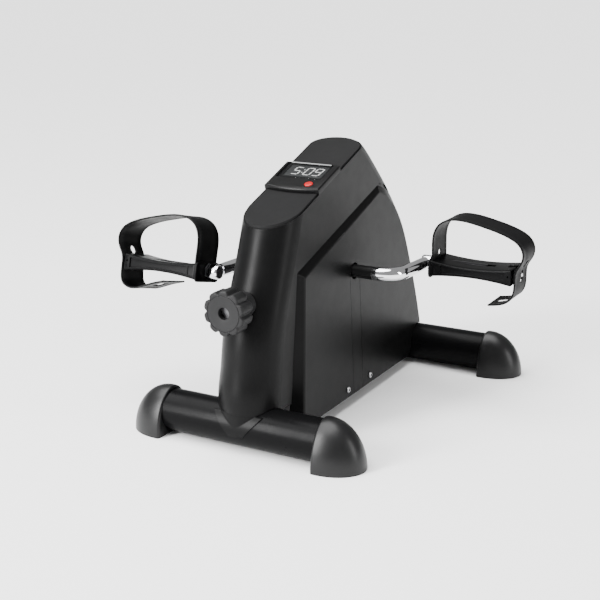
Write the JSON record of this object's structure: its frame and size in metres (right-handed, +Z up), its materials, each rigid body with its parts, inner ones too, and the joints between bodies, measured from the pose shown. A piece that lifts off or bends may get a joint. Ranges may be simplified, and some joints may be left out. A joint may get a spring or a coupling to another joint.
{
  "type": "pedal exerciser",
  "caption": "Under-desk pedal exerciser: tall narrow housing on two round cross feet, bent crank with strapped foot pedals, lobed tension knob and small sloping display.",
  "frame": {"origin": "on the floor, under the middle of the overall width and depth", "axes": "+Z up; +X from the user's left to right as seen from behind the machine's far side, that is to the right of someone facing the knob; -Y towards the user, the side with the tension knob"},
  "size_m": [0.4502, 0.4465, 0.3169],
  "materials": {
    "tube_coat": "black powder coat, satin",
    "cap_plastic": "satin moulded black",
    "housing_plastic": "fine-grained moulded black, satin",
    "deck_plastic": "fine-grained charcoal grey",
    "console_plastic": "satin moulded black",
    "frame_steel": "black paint",
    "zinc_steel": "bright zinc plate",
    "crank_chrome": "polished chrome plate",
    "spindle_steel": "plain turned steel",
    "drum_iron": "machined cast iron",
    "bush_nylon": "natural nylon",
    "felt": "dense wool felt",
    "knob_plastic": "satin moulded black",
    "pedal_plastic": "satin moulded black",
    "strap_rubber": "soft matt black",
    "window_clear": "clear tinted acrylic",
    "screen_grey": "liquid crystal grey",
    "button_red": "glossy red",
    "board_green": "solder mask",
    "lead_black": "insulated wire"
  },
  "bodies": {
    "machine": {"front_stabiliser_tube": "tube_coat", "rear_stabiliser_tube": "tube_coat", "front_left_foot_cap": "cap_plastic", "front_right_foot_cap": "cap_plastic", "rear_left_foot_cap": "cap_plastic", "rear_right_foot_cap": "cap_plastic", "front_saddle": "housing_plastic", "rear_saddle": "housing_plastic", "main_frame": "frame_steel", "left_bearing": "bush_nylon", "right_bearing": "bush_nylon", "stabiliser_bolts": "zinc_steel", "stabiliser_nuts": "zinc_steel", "housing": "housing_plastic", "left_slot_cover": "housing_plastic", "right_slot_cover": "housing_plastic", "slot_cover_screws": "zinc_steel", "front_deck_plate": "deck_plastic", "rear_deck_plate": "deck_plastic", "console_bezel": "console_plastic", "display_window": "window_clear", "display_screen": "screen_grey", "circuit_board": "board_green", "console_back": "console_plastic", "button_cell": "zinc_steel", "reed_switch": "console_plastic", "sensor_lead": "lead_black", "screw_bush": "knob_plastic", "tension_spring": "spindle_steel", "brake_strap": "felt", "strap_clip": "zinc_steel"},
    "crank": {"crank_axle": "spindle_steel", "brake_drum": "drum_iron", "axle_clips": "zinc_steel", "speed_magnet": "zinc_steel", "left_crank_arm": "crank_chrome", "right_crank_arm": "crank_chrome", "left_pedal_spindle": "spindle_steel", "right_pedal_spindle": "spindle_steel"},
    "left_pedal": {"left_pedal_body": "pedal_plastic", "left_foot_strap": "strap_rubber", "left_strap_peg": "zinc_steel", "left_spindle_cap": "pedal_plastic"},
    "right_pedal": {"right_pedal_body": "pedal_plastic", "right_foot_strap": "strap_rubber", "right_strap_peg": "zinc_steel", "right_spindle_cap": "pedal_plastic"},
    "knob": {"tension_knob": "knob_plastic", "tension_screw": "zinc_steel"},
    "yoke": {"tension_yoke": "zinc_steel"},
    "button": {"reset_button": "button_red"}
  },
  "joints": [
    {"name": "crank_spin", "type": "hinge", "parent": "machine", "child": "crank", "pos_m": [0, 0.00525, 0.165], "axis": [1, 0, 0], "continuous": true},
    {"name": "left_pedal_spin", "type": "hinge", "parent": "crank", "child": "left_pedal", "pos_m": [-0.16, -0.09069, 0.16835], "axis": [1, 0, 0], "continuous": true},
    {"name": "right_pedal_spin", "type": "hinge", "parent": "crank", "child": "right_pedal", "pos_m": [0.16, 0.10119, 0.16165], "axis": [1, 0, 0], "continuous": true},
    {"name": "knob_turn", "type": "hinge", "parent": "machine", "child": "knob", "pos_m": [0, -0.19475, 0.165], "axis": [0, 1, 0], "range_deg": [-1440, 1440]},
    {"name": "yoke_slide", "type": "slide", "parent": "machine", "child": "yoke", "axis": [0, -1, 0], "range_m": [-0.005, 0.005]},
    {"name": "button_press", "type": "slide", "parent": "machine", "child": "button", "axis": [0, 0.3404, -0.9403], "range_m": [0, 0.0012], "stiffness_N_per_m": 300}
  ],
  "couplings": [
    {"joint": "yoke_slide", "follows": "knob_turn", "m_per_rad": 0.00019894}
  ]
}
